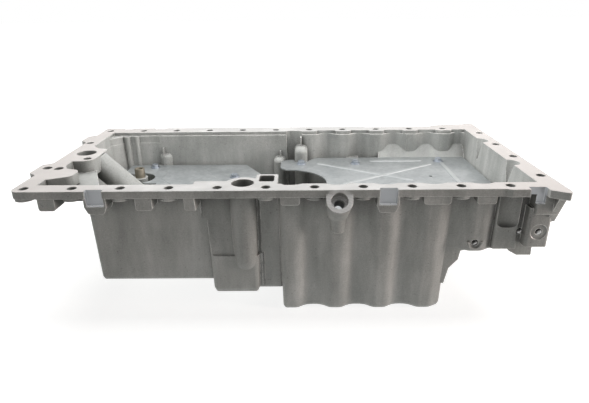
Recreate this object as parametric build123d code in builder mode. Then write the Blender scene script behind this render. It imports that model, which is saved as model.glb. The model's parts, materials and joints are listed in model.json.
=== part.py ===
from build123d import *
import os

# Oil pan of an in-line five-cylinder engine: one die-cast aluminium pan with a deep
# corrugated sump, two pressed-steel baffle plates screwed to bosses inside it, a
# suction bush and a drain plug. The gasket face is up and the deep sump is the foot.

os.makedirs("parts", exist_ok=True)

# ---------------------------------------------------------------------------
# Driving dimensions, in millimetres
# ---------------------------------------------------------------------------
bolt_pitch = 46.0        # spacing of the bolts along both rails, half a cylinder pitch
last_bolt = 5            # bolts are numbered -5 to 5 from the middle one
row_gap = 230.0          # front bolt row to back bolt row
bolt_hole = 9.0          # clearance hole for an M8 screw
pan_height = 140.0       # gasket face to the underside of the deep sump

wall = 4.0               # cast wall
floor_wall = 5.0         # cast floor
draft = 1.5              # degrees, all deep walls
flange_thick = 7.5       # gasket flange
rim_round = 1.6          # plan corners of the flange
rim_corner = 8.0         # its front left corner
corner = 8.0             # plan corners of the cast forms
inner_corner = 5.0       # the same corners inside
foot_round = 4.0         # round between a wall and its floor
foot_steps = [(0.707, 22.5), (0.293, 67.5)]  # the round in two leaning steps: share of its height, degrees

front_margin = 9.5       # front bolt row to the front edge of the flange
back_margin = 14.0       # back bolt row to the back edge of the flange
left_margin = 9.5       # end bolt to the left edge of the flange
right_margin = 49.0      # end bolt to the right edge, over the gearbox bolts
left_ear = 9.0           # ears that stand out of the left edge
ear_front = 40.0         # where the front one begins, behind the front bolt row
right_horn = 28.0        # back right corner, behind the back bolt row
front_horn = 12.5        # front right corner, in front of the flange edge

crest_half = 7.5         # half width of a crest of the corrugation
flute_half = 6.0         # half width of a flute, where a bolt head is reached
wave_round = 14.0        # radius that turns the corrugation into one smooth wave
sump_corner = 12.0       # plan radius of the sump's right front corner
front_crest = 1.5        # outside of the front wall at a crest, behind the bolt row
front_flute = 8.0        # outside of the front wall at a flute
back_crest = 1.5         # outside of the back wall at a crest, before the bolt row
back_flute = 8.0         # outside of the back wall at a flute

left_depth = 108.0       # underside of the left well
middle_depth = 120.5     # underside of the middle well
middle_foot = 6.5        # round between its walls and its floor
panel_depth = 118.0      # underside of the narrow panel beside the sump
gearbox_depth = 72.0     # underside of the shallow gearbox end
pocket_depth = 18.0      # underside of the shallow pocket at the left end

sheet = 1.5              # baffle plate
right_baffle_depth = 36.0
left_baffle_depth = 45.0
baffle_gap = 3.0         # from a baffle's edge to the cast wall
ear_round = 14.0         # at the free end of the right plate
plate_corner = 2.0       # plan corners of the plates
plate_play = 0.4         # radial play of a screw in a plate
oil_hole = 4.0           # small hole in each plate
rib_width = 6.5          # pressed ribs
rib_height = 0.7
rib_lean = 60.0
screw_thread = 6.0       # baffle screws
screw_hex = 9.0          # across the flats of their heads
screw_head = 4.5         # height of their heads
screw_play = 0.25        # radial play of a screw in its cast hole

port_bore = 22.0         # suction port in the gasket face
tube_size = 28.0         # cast suction tube
dip_bore = 22.0          # dipstick tube port beside the front rail
drain_thread = 22.0      # drain plug

bolt_boss = 18.4         # bosses under the bolts
bolt_boss_drop = 3.0     # how far they stand below the flange
lug_depth = 20.0         # plain lugs between the bolts
lug_round = 2.5
slot_lug_depth = 23.5    # lugs with a milled slot
slot_depth = 16.0
crest_lug_depth = 15.5   # lugs in front of the corrugation's crests
land_depth = 12.0        # thickness of the lands that stand into the opening
gasket_land = 9.0        # bolt row to the inner edge of the gasket face
shelf = 4.5              # step from the gasket face to the cast edge inside it
square_port = 15.0       # small square port
square_x = -0.5
square_depth = 30.0

dip_boss_size = 25.0     # leaning dipstick boss
dip_boss_length = 44.0
dip_face_out = 5.0
dip_offset = 23.2        # upright port, left of the middle bolt
dip_y = 12.0
dip_body = 21.0          # tapered body that carries the leaning boss down the wall
dip_body_depth = 47.0
dip_collar = 34.0
tube_boss = 25.6
tube_boss_depth = 94.0

pad_front = -4.0         # front of the gearbox pad
low_boss_out = 21.5      # threaded boss low on the front wall, right of the sump
low_boss_depth = 61.5
low_boss_size = 16.0
low_boss_front = 4.5
scoop_size = 28.0        # round recess that clears the last bolt of the front rail
scoop_front = -5.0
scoop_depth = 46.0
scoop_round = 6.0

port_inset = 20.5        # suction port, from the left edge of the flange
port_from_back = 109.0
tube_start_depth = 11.0
tube_length = 82.0
bush_inset = 64.5        # suction bush, in its post
bush_from_back = 64.0
bush_post_size = 18.0
bush_post_depth = 46.0

bush_size = 12.5
bush_bore = 8.0
bush_seat = 8.0
bush_rise = 12.0
tube_bore = 17.0
dowel_hole = 10.0
slope_top = 12.6         # sloping floor behind the right baffle
slope_run = 24.0
slope_clearance = 0.8    # from the back edge of the baffle down to it
baffle_back = 19.5       # back bolt row to the back edge of the right baffle
column_places = [(22.0, 9.0), (35.0, 6.0)]  # half-round columns in the left back corner: inset, diameter

recess_back = 14.0       # bolt recess in the middle well
recess_depth = 76.0
recess_lean = 8.5        # its back wall comes forward by this much towards the foot
recess_slant = 5.0       # and its left side goes right
recess_round = 3.0
groove_back = 12.0
slot_width = 16.6        # milled slots of the lugs
slot_reach = 10.0
dip_hole = 10.0
dip_counterbore = 16.0
thread_drill = 6.8       # tapping size of M8
pad_hole_depth = 47.0
toe_front = 6.0
toe_hole_inset = 15.0
toe_hole_depth = 50.0

drain_depth = 112.0
drain_out = 1.0          # drain face behind the back bolt row
drain_boss_size = 34.0
washer_thick = 1.5
plug_hex = 20.0
plug_head = 7.0
plug_collar = 31.0
plug_collar_thick = 2.5
plug_length = 12.5       # of the plug's thread, in the boss
screw_length = 14.0

# ---------------------------------------------------------------------------
# The shared frame: the origin is under the middle of the pan, on the floor
# ---------------------------------------------------------------------------


def col(number):
    """Distance along the pan from the middle bolt to bolt number `number`."""
    return number * bolt_pitch


left_face = col(-last_bolt) - left_margin
right_face = col(last_bolt) + right_margin
front_face = -front_margin
back_face = row_gap + back_margin

dip_rise = dip_boss_size / 2 * 0.5 ** 0.5
port_x = left_face + port_inset
port_y = row_gap - port_from_back
bush_x = left_face + bush_inset
bush_y = row_gap - bush_from_back
dip_x = col(0) - dip_offset
drain_x = col(2.5)
drain_face = row_gap + drain_out
left_reach = left_face - left_ear
back_reach = row_gap + right_horn
front_reach = front_face - dip_face_out - dip_rise
horn_y = front_face - front_horn
end_holes = [(right_face - 7.5, row_gap - y) for y in (201.5, 135.0, 84.0, 27.0)]
end_holes += [(left_face + 6.0, row_gap - 63.0), (port_x + 10.0, port_y - 23.0)]
dowel_holes = [(left_face + 1.5, ear_front + 24.0), (left_face + 14.5, ear_front + 22.0)]
middle_x = -(left_reach + right_face) / 2
front_row_y = -(front_reach + back_reach) / 2


def level(depth):
    """Horizontal plane at that depth below the gasket face, zeroed on the middle front bolt."""
    return Plane((middle_x, front_row_y, pan_height - depth))


def front_plane(y):
    """Upright plane facing the front: local x runs along the pan, local y up from the gasket face."""
    return Plane((middle_x, front_row_y + y, pan_height), x_dir=(1, 0, 0), z_dir=(0, -1, 0))


def side_plane(x):
    """Upright plane facing right: local x runs to the back, local y up from the gasket face."""
    return Plane((middle_x + x, front_row_y, pan_height), x_dir=(0, 1, 0), z_dir=(1, 0, 0))


# ---------------------------------------------------------------------------
# Form makers
# ---------------------------------------------------------------------------


def round_corners(plan, outline, edge):
    """Round the corners of an outline; a point with a third number has a radius of its own."""
    for radius in sorted({point[2] if len(point) == 3 else edge for point in outline}):
        places = [point for point in outline if (point[2] if len(point) == 3 else edge) == radius]
        corners = [
            v for v in plan.vertices() if any(abs(v.X - p[0]) + abs(v.Y - p[1]) < 0.01 for p in places)]
        if radius and corners:
            fillet(corners, radius)


def tub(outline, top, bottom, taper=draft, edge=corner, foot=foot_round):
    """Drafted cast form between two depths, rounded in plan and round its foot."""
    with BuildPart() as form:
        with BuildSketch(level(top)) as plan:
            with BuildLine():
                Polyline(*[point[:2] for point in outline], close=True)
            make_face()
            round_corners(plan, outline, edge)
        extrude(amount=top - bottom + foot, taper=taper)
        if foot:
            for share, lean in foot_steps:
                extrude(form.faces().sort_by(Axis.Z)[0], amount=foot * share, taper=lean)
    return form.part


def slab(outline, top, bottom, edge=0.0):
    """Straight-sided form between two depths."""
    with BuildPart() as form:
        with BuildSketch(level(top)) as plan:
            with BuildLine():
                Polyline(*[point[:2] for point in outline], close=True)
            make_face()
            round_corners(plan, outline, edge)
        extrude(amount=top - bottom)
    return form.part


def post(x, y, diameter, top, bottom, taper=0.0):
    """Round upright form between two depths."""
    with BuildPart() as form:
        with BuildSketch(level(top)):
            with Locations((x, y)):
                Circle(diameter / 2)
        extrude(amount=top - bottom, taper=taper)
    return form.part


def box_outline(x0, x1, y0, y1):
    """The four corners of a rectangle."""
    return [(x0, y0), (x1, y0), (x1, y1), (x0, y1)]


def half_widths(inset):
    """Half widths of a crest and of a flute where the wave is moved inwards by `inset`."""
    return crest_half - inset / 3, flute_half + inset / 3


def front_wave(first, last, inset):
    """Front wall of the sump from crest `first` to crest `last`, moved inwards by `inset`."""
    crest_w, flute_w = half_widths(inset)
    crest_y, flute_y = front_crest + inset, front_flute + inset
    points = []
    for number in range(first, last + 1):
        crest = col(number + 0.5)
        points += [(crest - crest_w, crest_y, wave_round), (crest + crest_w, crest_y, wave_round)]
        if number < last:
            flute = col(number + 1)
            points += [(flute - flute_w, flute_y, wave_round), (flute + flute_w, flute_y, wave_round)]
    return points


def back_wave(first, last, inset):
    """Back wall of the sump from crest `last` down to crest `first`, moved inwards by `inset`."""
    crest_w, flute_w = half_widths(inset)
    crest_y, flute_y = row_gap - back_crest - inset, row_gap - back_flute - inset
    points = []
    for number in range(last, first - 1, -1):
        crest = col(number + 0.5)
        points += [(crest + crest_w, crest_y, wave_round), (crest - crest_w, crest_y, wave_round)]
        if number > first:
            flute = col(number)
            points += [(flute + flute_w, flute_y, wave_round), (flute - flute_w, flute_y, wave_round)]
    return points


# ---------------------------------------------------------------------------
# Plan outlines of the wells, outside (inset 0) or inside (inset = wall)
# ---------------------------------------------------------------------------
left_well_x = col(-4) + 4.5
left_back_x = col(-5) + 4.0
left_front_y = front_crest + 8.0
middle_left_x = col(-1) - 15.0
middle_right_x = -7.0
middle_front_y = front_crest + 0.5
panel_right_x = 19.0
panel_front_y = front_flute + 0.5
straight_back_y = row_gap - back_flute
sump_left_x = 10.5
sump_right_x = col(4)
gearbox_right_x = col(last_bolt) + 33.0


def left_outline(inset, reach):
    """The left well. `reach` carries the inside on into its neighbour."""
    return [
        (left_well_x + inset, left_front_y + inset),
        (middle_left_x + reach, left_front_y + inset),
        (middle_left_x + reach, straight_back_y - inset),
        (left_back_x + 15.0 + inset, straight_back_y - inset),
        (left_back_x + inset, straight_back_y - 17.0 - inset),
        (left_back_x + inset, row_gap - 86.0),
        (left_well_x + inset, left_front_y + 31.0),
    ]


def middle_outline(inset, reach):
    """The middle well, a little deeper and further forward than the left one."""
    return [
        (middle_left_x + inset, middle_front_y + inset),
        (middle_right_x - inset, middle_front_y + inset),
        (middle_right_x - inset, straight_back_y - inset - reach),
        (middle_left_x + inset, straight_back_y - inset - reach),
    ]


def panel_outline(inset, reach):
    """The narrow panel between the middle well and the sump. `reach` carries the inside on into both."""
    return [
        (middle_right_x - 12.0 - reach, panel_front_y + inset),
        (panel_right_x + reach, panel_front_y + inset),
        (panel_right_x + reach, straight_back_y - inset),
        (middle_right_x - 12.0 - reach, straight_back_y - inset),
    ]


def sump_outline(inset):
    """The deep sump: corrugated front and back, so that every bolt head can be reached."""
    points = [(sump_left_x + inset, front_crest + inset)]
    points += front_wave(0, 3, inset)[1:]
    points += [(sump_right_x - inset, front_flute + 2.0 + inset, sump_corner)]
    points += [(sump_right_x - inset, row_gap - back_flute - inset)]
    points += back_wave(0, 3, inset)[:-1]
    points += [(sump_left_x + inset, row_gap - back_crest - inset)]
    return points


def gearbox_outline(inset, reach):
    """The shallow end under the gearbox, with the corrugation carried on along it."""
    crest_w, flute_w = half_widths(inset)
    crest_y, flute_y = front_crest + inset, front_flute + inset
    back_crest_y, back_flute_y = row_gap - back_crest - inset, row_gap - back_flute - inset
    left = sump_right_x - 25.0 - reach
    right = gearbox_right_x - inset
    return [
        (left, flute_y), (col(4) + flute_w, flute_y, wave_round),
        (col(4.5) - crest_w, crest_y, wave_round), (col(4.5) + crest_w, crest_y, wave_round),
        (col(5) - flute_w, flute_y, wave_round), (right, flute_y),
        (right, back_crest_y), (col(5) + flute_w + 8.0, back_crest_y), (col(5) + flute_w, back_flute_y),
        (col(5) - flute_w, back_flute_y, wave_round), (col(4.5) + crest_w, back_crest_y, wave_round),
        (col(4.5) - crest_w, back_crest_y, wave_round), (col(4) + flute_w, back_flute_y, wave_round),
        (left, back_flute_y),
    ]


# ---------------------------------------------------------------------------
# Flange outline, walked from the front left corner
# ---------------------------------------------------------------------------
flange_points = [
    (left_face, front_face, rim_corner),
    (col(5) - 7.0, front_face),
    (col(5) - 2.0, front_face - 2.0),
    (col(5) + 28.0, front_face - 2.0),
    (right_face - 3.0, horn_y),
    (right_face, horn_y + 4.0),
    (right_face, back_reach),
    (right_face - 9.0, back_reach),
    (right_face - 15.0, back_reach - 4.0),
    (col(5) - 12.0, back_face + 4.0),
    (col(5) - 13.0, back_face - 3.0),
    (col(3) - 13.0, back_face - 3.0),
    (col(3) - 16.0, back_face),
    (col(-3) - 17.0, back_face),
    (col(-3) - 19.0, back_face - 5.0),
    (col(-4) + 14.0, back_face - 5.0),
    (col(-4) + 12.0, back_face),
    (col(-4) - 17.0, back_face),
    (col(-4) - 19.0, back_face - 5.0),
    (col(-5) + 17.0, back_face - 5.0),
    (col(-5) + 15.0, back_face),
    (left_face, back_face),
    (left_face, row_gap - 24.0),
    (left_reach, row_gap - 31.0),
    (left_reach, row_gap - 53.0),
    (left_face, row_gap - 61.0),
    (left_face, ear_front + 41.0),
    (left_reach, ear_front + 35.0),
    (left_reach, ear_front + 7.0),
    (left_face, ear_front),
]

# Lands of the gasket face that stand into the opening: the peninsula and the suction
# boss of the left end, and the collar of the small square port.
peninsula = [
    (left_face + 3.5, ear_front - 14.0), (left_face + 3.5, ear_front + 35.0),
    (col(-5) + 7.0, ear_front + 35.0), (col(-5) + 14.0, ear_front + 21.0, 6.0),
    (col(-5) + 30.0, ear_front + 16.0, 9.0), (col(-5) + 30.0, ear_front - 4.0, 9.0),
    (col(-5) + 10.0, ear_front - 14.0),
]
suction_land = [
    (left_face + 3.5, row_gap - 142.0), (left_face + 3.5, row_gap - 60.0),
    (col(-5) + 8.0, row_gap - 60.0), (col(-5) + 8.0, row_gap - 78.0),
    (col(-5) + 17.0, row_gap - 89.0), (col(-5) + 30.0, row_gap - 92.0),
    (col(-5) + 30.0, row_gap - 142.0, 13.0),
]
square_collar = box_outline(square_x - square_port / 2 - 3.5, square_x + square_port / 2 + 3.5, 4.0, 37.5)


def shelf_outline():
    """Edge of the machined gasket face, a step above the rounded edge of the cast wall."""
    points = [(col(-5) + 8.0, gasket_land)]
    for number in (0.5, 1.5, 2.5, 3.5, 4.5):
        crest = col(number)
        points += [(crest - crest_half - 1.0, gasket_land), (crest - crest_half + 4.0, gasket_land - 3.5)]
        points += [(crest + crest_half - 4.0, gasket_land - 3.5), (crest + crest_half + 1.0, gasket_land)]
    points += [(gearbox_right_x - wall, gasket_land), (gearbox_right_x - wall, row_gap - gasket_land + 3.5)]
    for number in (5, 4, 3, 2):
        flute = col(number)
        points += [(flute + flute_half + 5.0, row_gap - gasket_land + 3.5)]
        points += [(flute + flute_half + 3.0, row_gap - gasket_land - 1.0)]
        points += [(flute - flute_half - 3.0, row_gap - gasket_land - 1.0)]
        points += [(flute - flute_half - 5.0, row_gap - gasket_land + 3.5)]
    points += [(col(1) + 11.0, row_gap - gasket_land + 3.5), (col(1) + 9.0, row_gap - gasket_land - 1.0)]
    points += [(col(-5) + 8.0, row_gap - gasket_land - 1.0)]
    return points


# ---------------------------------------------------------------------------
# Outside of the casting
# ---------------------------------------------------------------------------
pocket_points = box_outline(left_back_x, left_well_x + 20.0, left_front_y - 0.5, straight_back_y)

left_well = tub(left_outline(0, 15.0), 0, left_depth)
middle_well = tub(middle_outline(0, 0), 0, middle_depth, foot=middle_foot)
panel_well = tub(panel_outline(0, 0), 0, panel_depth)
sump_well = tub(sump_outline(0), 0, pan_height)
gearbox_end = tub(gearbox_outline(0, 0), 0, gearbox_depth, foot=3.0)
end_pocket = tub(pocket_points, 0, pocket_depth, foot=3.0)

left_inside = tub(left_outline(wall, 25.0), 0, left_depth - floor_wall, edge=inner_corner, foot=0)
middle_inside = tub(middle_outline(wall, 0), 0, middle_depth - floor_wall, edge=inner_corner, foot=0)
panel_inside = tub(panel_outline(wall, 8.0), 0, panel_depth - floor_wall, edge=0, foot=0)
sump_inside = tub(sump_outline(wall), 0, pan_height - floor_wall, edge=inner_corner, foot=0)
gearbox_inside = tub(gearbox_outline(wall, 8.0), 0, gearbox_depth - floor_wall, edge=inner_corner, foot=0)
pocket_inside = slab([
    (left_back_x + wall, left_front_y + wall - 0.5), (left_well_x + 22.0, left_front_y + wall - 0.5),
    (left_well_x + 22.0, straight_back_y - wall), (left_back_x + 15.0 + wall, straight_back_y - wall),
    (left_back_x + wall, straight_back_y - 17.0 - wall)], 0, pocket_depth - wall, edge=4.0)


def front_lug(number, half, half_foot, shoulder, depth, back_y):
    """Clamping lug under the front rail between two bolts; below the shoulder it tapers."""
    middle = col(number)
    with BuildPart() as lug:
        with BuildSketch(front_plane(lug_face)):
            with BuildLine():
                Polyline(
                    (middle - half, 0), (middle + half, 0), (middle + half, -shoulder),
                    (middle + half_foot, -depth), (middle - half_foot, -depth),
                    (middle - half, -shoulder), close=True)
            make_face()
        extrude(amount=-(back_y - lug_face))
        fillet(lug.edges().filter_by(Axis.Y).group_by(Axis.Z)[0], lug_round)
    return lug.part


lug_face = front_face + 1.2
lug_back = left_front_y + 2.0
lugs = [front_lug(n, 8.0, 8.0, lug_depth - 2.0, lug_depth, lug_back) for n in (-4.5, -2.5, -1.5)]
lugs += [front_lug(n, 10.5, 7.5, slot_depth + 0.5, slot_lug_depth, lug_back) for n in (-3.5, 2.5)]
lugs += [front_lug(n, 9.3, 9.0, flange_thick, crest_lug_depth, lug_back) for n in (0.5, 4.5)]
lugs += [front_lug(3.5, 13.0, 12.5, flange_thick, crest_lug_depth, lug_back)]
lugs += [front_lug(dip_x / bolt_pitch, 11.0, 10.5, flange_thick, crest_lug_depth + 1.0, lug_back)]

# Dipstick boss: a round boss that leans forward out of the front wall, its face flush
# with the gasket face at the top.
dip_lean = Plane(
    level(dip_rise).origin + Vector(col(1.5), front_face - dip_face_out, 0),
    x_dir=(1, 0, 0), z_dir=(0, -1, 1))
with BuildPart() as dip_boss:
    with BuildSketch(dip_lean):
        Circle(dip_boss_size / 2)
    extrude(amount=-dip_boss_length, taper=4.0)
    fillet(dip_boss.edges().sort_by(Axis.Z)[0], 4.0)
    with BuildSketch(dip_lean):
        with Locations((0, dip_boss_size / 4)):
            Rectangle(dip_boss_size, dip_boss_size / 2)
    extrude(amount=-dip_boss_size / 2)

# Gearbox end: block with the two threaded holes that face the front, and its web.
gearbox_pad = slab(
    box_outline(gearbox_right_x - 12.0, gearbox_right_x + 10.5, pad_front, 24.0), 22.0, 63.0, edge=3.0)
with BuildPart() as gearbox_toe:
    with BuildSketch(front_plane(toe_front)):
        with BuildLine():
            Polyline(
                (gearbox_right_x - 21.0, 0), (gearbox_right_x - 1.0, 0),
                (gearbox_right_x + 1.5, -gearbox_depth - 5.0), (gearbox_right_x - 13.0, -gearbox_depth - 5.0),
                (gearbox_right_x - 21.0, -gearbox_depth - 0.5), close=True)
        make_face()
    extrude(amount=-34.0)
low_pad = slab(
    box_outline(gearbox_right_x - 40.0, gearbox_right_x - 15.0, front_crest + 2.5, 20.0),
    0, gearbox_depth - 3.0, edge=3.0)
with BuildPart() as bolt_scoop:
    add(post(gearbox_right_x - 28.0, scoop_front, scoop_size, flange_thick, scoop_depth))
    fillet(bolt_scoop.edges().group_by(Axis.Z)[0], scoop_round)
gearbox_web = slab(
    box_outline(gearbox_right_x - 9.0, gearbox_right_x + 13.0, front_face + 2.0, 14.0), 0.0, 27.0, edge=1.5)

with BuildPart() as horn_gusset:
    with BuildSketch(side_plane(right_face - 9.0)):
        with BuildLine():
            Polyline((horn_y + 3.0, 0), (20.0, 0), (20.0, -50.0), (-2.0, -36.0), close=True)
        make_face()
    extrude(amount=7.0)

with BuildPart() as low_boss:
    with BuildSketch(front_plane(low_boss_front)):
        with Locations((sump_right_x + low_boss_out, -low_boss_depth)):
            Circle(low_boss_size / 2)
    extrude(amount=-14.0)

# Suction tube: leans down to the right from the port in the left end.
tube_start = level(tube_start_depth).origin + Vector(port_x + tube_start_depth, port_y, 0)
tube_lean = Plane(tube_start, x_dir=(0, 1, 0), z_dir=(-1, 0, 1))
with BuildPart() as suction_tube:
    with BuildSketch(tube_lean):
        Circle(tube_size / 2)
    extrude(amount=-tube_length)

# Half-round relief cones down the right wall, for the gearbox bolts.
cone_rows = [row_gap - 158.0, row_gap - 65.0]
cone_forms = [post(gearbox_right_x - 2.0, y, 26.0, 0, 31.0, taper=19.0) for y in cone_rows]
cone_cuts = [post(gearbox_right_x - wall, y, 20.0, 0, 25.0, taper=19.0) for y in cone_rows]

dip_body_form = post(col(1.5), dip_body / 2 - 8.5, dip_body, dip_rise + 3.0, dip_body_depth, taper=7.0)

# Upright tube beside the rail, round at its lower end
with BuildPart() as dip_tube:
    add(post(dip_x, dip_y, tube_boss, 0, tube_boss_depth - tube_boss / 2))
    with Locations(level(tube_boss_depth - tube_boss / 2).origin + Vector(dip_x, dip_y, 0)):
        Sphere(tube_boss / 2)

# Drain boss, low on the back wall
with BuildPart() as drain_boss:
    with BuildSketch(front_plane(drain_face)):
        with Locations((drain_x, -drain_depth)):
            Circle(drain_boss_size / 2)
    extrude(amount=12.0)

shoulder_front = front_flute + 2.0


def shoulder(inset):
    """Curved shoulder between the sump's right wall and the floor of the gearbox end."""
    top = gearbox_depth - 2.0 * floor_wall
    with BuildPart() as form:
        with BuildSketch(front_plane(shoulder_front + inset)) as plan:
            with BuildLine():
                Polyline(
                    (sump_right_x + 20.0 - inset, -top), (sump_right_x + 20.0 - inset, -gearbox_depth + inset),
                    (sump_right_x + 11.0 - inset, -gearbox_depth - 2.0), (sump_right_x + 9.5 - inset, -gearbox_depth - 12.0),
                    (sump_right_x + 1.0 - inset, -gearbox_depth - 22.0), (sump_right_x - 2.5 - inset, -gearbox_depth - 40.0),
                    (sump_right_x - 14.0, -gearbox_depth - 40.0), (sump_right_x - 14.0, -top), close=True)
            make_face()
        extrude(amount=-(row_gap - back_flute - shoulder_front - 5.0 - 2.0 * inset))
    return form.part


shoulder_outside = shoulder(0)
shoulder_inside = shoulder(wall)

# Recess that clears a bolt on the middle well, and the groove beside the dipstick tube
with BuildPart() as bolt_recess:
    with BuildSketch(front_plane(front_face - 5.0)):
        with BuildLine():
            Polyline(
                (middle_left_x - 6.0, -flange_thick), (dip_x, -flange_thick), (dip_x, -recess_depth),
                (middle_left_x - 6.0 + recess_slant, -recess_depth), close=True)
        make_face()
    extrude(amount=-(recess_back - front_face + 5.0))
    with BuildSketch(side_plane(middle_left_x - 6.0)):
        with BuildLine():
            Polyline(
                (front_face - 5.0, -flange_thick), (recess_back, -flange_thick),
                (recess_back - recess_lean, -recess_depth), (front_face - 5.0, -recess_depth), close=True)
        make_face()
    extrude(amount=dip_x - middle_left_x + 6.0, mode=Mode.INTERSECT)
    fillet(bolt_recess.edges().filter_by(Axis.X).sort_by(Axis.Z)[0:2].sort_by(Axis.Y)[-1], recess_round)
    add(dip_tube.part, mode=Mode.SUBTRACT)
groove_outline = box_outline(dip_x, middle_right_x, front_face - 5.0, groove_back)
tube_groove = slab(groove_outline, flange_thick, recess_depth) - dip_tube.part
low_groove_outline = box_outline(middle_right_x, middle_right_x + 2.5, front_face - 5.0, groove_back)
low_groove = slab(low_groove_outline, recess_depth - 2.0, middle_depth)
recess_backing = slab(
    box_outline(middle_left_x - 10.0, dip_x - 6.0, front_face, recess_back + wall), 0, recess_depth + wall)
groove_backing = slab(
    box_outline(middle_right_x - 8.0, middle_right_x + 6.5, front_face, groove_back + wall), 0, middle_depth)

with BuildPart() as outside:
    with BuildSketch(level(0)) as rim:
        with BuildLine():
            Polyline(*[point[:2] for point in flange_points], close=True)
        make_face()
        round_corners(rim, flange_points, rim_round)
    extrude(amount=-flange_thick)
    add([left_well, middle_well, panel_well, sump_well, gearbox_end, end_pocket, shoulder_outside])
    add(lugs + cone_forms + [gearbox_pad, gearbox_toe.part, low_pad, gearbox_web, horn_gusset.part, low_boss.part])
    add([dip_boss.part, dip_body_form, suction_tube.part, dip_tube.part, drain_boss.part])
    add([post(col(n), y, bolt_boss, 0, flange_thick + bolt_boss_drop)
         for y in (0, row_gap) for n in range(-last_bolt, last_bolt + 1)])


# ---------------------------------------------------------------------------
# Inside of the casting: what the core leaves
# ---------------------------------------------------------------------------
def pillar(x, y, radius, top, wall_y, dome=0.0):
    """Screw boss that runs from the wall at `wall_y` and down to the floor, round at its end."""
    with BuildPart() as form:
        with BuildSketch(level(top)):
            with Locations((x, y)):
                Circle(radius)
            with Locations((x, (y + wall_y) / 2)):
                Rectangle(2 * radius, abs(wall_y - y))
        extrude(amount=top - pan_height)
        if dome:
            fillet(form.faces().sort_by(Axis.Z)[-1].edges(), dome)
    return form.part


def fin(x, y, top, bottom):
    """Thin feeder fin on the back wall above a screw boss."""
    return slab(box_outline(x - 0.8, x + 0.8, y, straight_back_y), top, bottom)


right_seat = right_baffle_depth + sheet / 2
left_seat = left_baffle_depth + sheet / 2
ear_x = col(0.75)
right_back_screws = [(ear_x, row_gap - 46.0), (col(2.3), row_gap - 46.0), (col(4.72), row_gap - 38.0)]
right_front_screws = [(col(2), 28.0), (col(4), 28.0)]
left_back_screws = [(col(-3.5) - 4.0, row_gap - 29.0)]
left_post_screws = [(col(-1) - 5.0, row_gap - 72.0)]
left_front_screws = [(col(-2), 42.0)]

right_screws = right_back_screws + right_front_screws
left_screws = left_back_screws + left_post_screws + left_front_screws

slope_drop = (right_seat + slope_clearance - slope_top) * slope_run / baffle_back

with BuildPart() as slope:
    with BuildSketch(side_plane(col(3) + 3.0)):
        with BuildLine():
            Polyline(
                (row_gap, -slope_top), (row_gap - slope_run, -slope_top - slope_drop),
                (row_gap - slope_run, -gearbox_depth), (row_gap, -gearbox_depth), close=True)
        make_face()
    extrude(amount=gearbox_right_x - col(3) - 3.0)

pillars = [pillar(x, y, 8.0, right_seat, row_gap) for x, y in right_back_screws]
pillars += [pillar(x, y, 8.0, right_seat, 0.0) for x, y in right_front_screws]
pillars += [pillar(x, y, 9.0, left_seat, row_gap) for x, y in left_back_screws]
pillars += [pillar(x, y, 8.0, left_seat, 0.0) for x, y in left_front_screws]
pillars += [post(x, y, 15.0, left_seat, left_depth) for x, y in left_post_screws]
domes = [
    pillar(ear_x, row_gap - 27.0, 8.5, right_seat - 18.0, row_gap, dome=6.0),
    pillar(5.0, row_gap - 20.0, 8.0, right_seat - 3.0, row_gap, dome=6.0),
    pillar(col(-3.5) + 8.0, row_gap - 9.0, 9.0, left_seat - 17.0, row_gap, dome=6.0),
]
fins = [
    fin(ear_x, row_gap - 18.0, 7.0, 30.0),
    fin(6.0, row_gap - 18.0, 26.0, 45.0),
    fin(col(-3.5) + 6.0, row_gap - 18.0, 20.0, 45.0),
]
bush_post = post(bush_x, bush_y, bush_post_size, bush_post_depth, left_depth)
columns = [
    post(left_back_x + inset, straight_back_y - wall, diameter, shelf, left_depth)
    for inset, diameter in column_places]

with BuildPart() as cavity:
    add([left_inside, middle_inside, panel_inside, sump_inside, gearbox_inside, pocket_inside, shoulder_inside])
    add(cone_cuts)
    add(slab(shelf_outline(), 0, shelf))
    add([slab(peninsula, 0, land_depth, edge=4.0), slab(suction_land, 0, pocket_depth, edge=5.0),
         slab(square_collar, 0, square_depth + wall, edge=2.0)], mode=Mode.SUBTRACT)
    add([post(dip_x, dip_y, dip_collar, 0, land_depth), dip_tube.part, suction_tube.part, bush_post, slope.part],
        mode=Mode.SUBTRACT)
    add([recess_backing, groove_backing], mode=Mode.SUBTRACT)
    add(pillars + domes + fins + columns, mode=Mode.SUBTRACT)

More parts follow.
